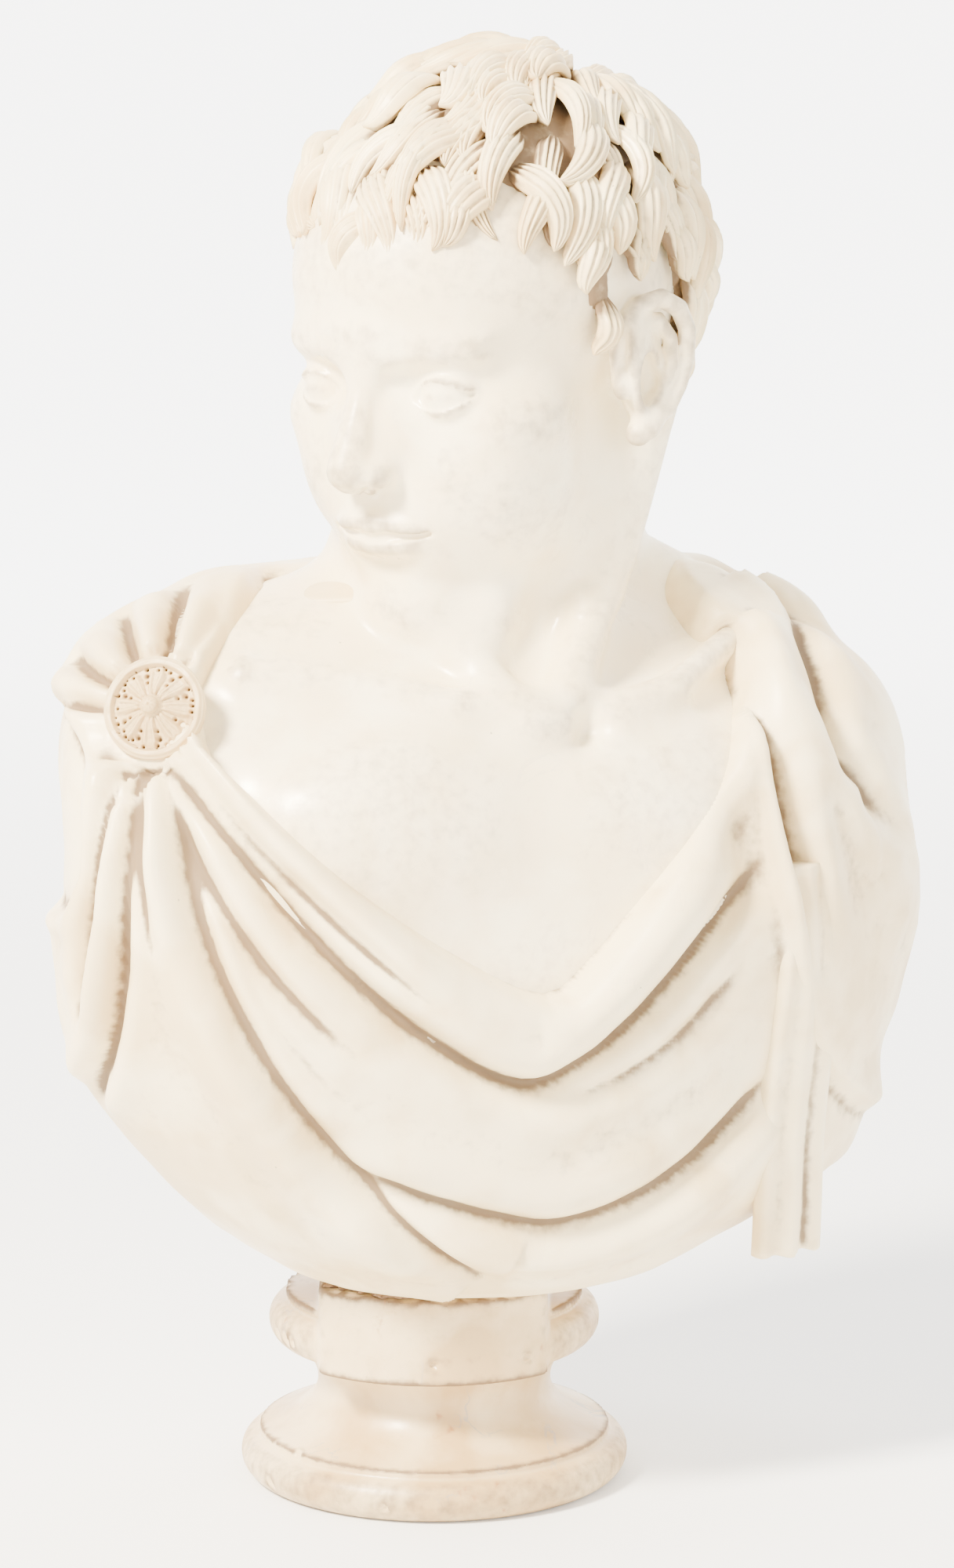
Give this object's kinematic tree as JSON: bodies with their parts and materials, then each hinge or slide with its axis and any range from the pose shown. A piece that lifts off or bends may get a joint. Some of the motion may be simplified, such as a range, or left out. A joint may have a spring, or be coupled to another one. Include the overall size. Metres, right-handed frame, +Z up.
{
  "type": "marble bust",
  "caption": "Draped marble bust with turned head and round cloak brooch, doweled to a turned marble socle with a front tablet.",
  "frame": {"origin": "centre of the socle's underside, on the turning axis of the socle", "axes": "+Z up, -Y towards the front of the tablet, +X towards the figure's left shoulder"},
  "size_m": [0.376, 0.2542, 0.6455],
  "materials": {
    "bust_marble": "satin",
    "brooch_marble": "satin",
    "pin_brass": "satin",
    "sleeve_lead": "matte",
    "dowel_iron": "matte",
    "bedding_mastic": "matte",
    "socle_marble": "satin"
  },
  "bodies": {
    "socle": {"socle": "socle_marble", "socle_sleeve": "sleeve_lead", "bedding": "bedding_mastic"},
    "dowel": {"dowel": "dowel_iron"},
    "bust": {"bust": "bust_marble", "brooch": "brooch_marble", "brooch_pin": "pin_brass", "bust_sleeve": "sleeve_lead"}
  },
  "joints": [
    {"name": "dowel_turn", "type": "hinge", "parent": "socle", "child": "dowel", "pos_m": [0, 0, 0.1], "axis": [0, 0, 1], "continuous": true},
    {"name": "bust_lift", "type": "slide", "parent": "dowel", "child": "bust", "axis": [0, 0, 1], "range_m": [0, 0.12]}
  ]
}
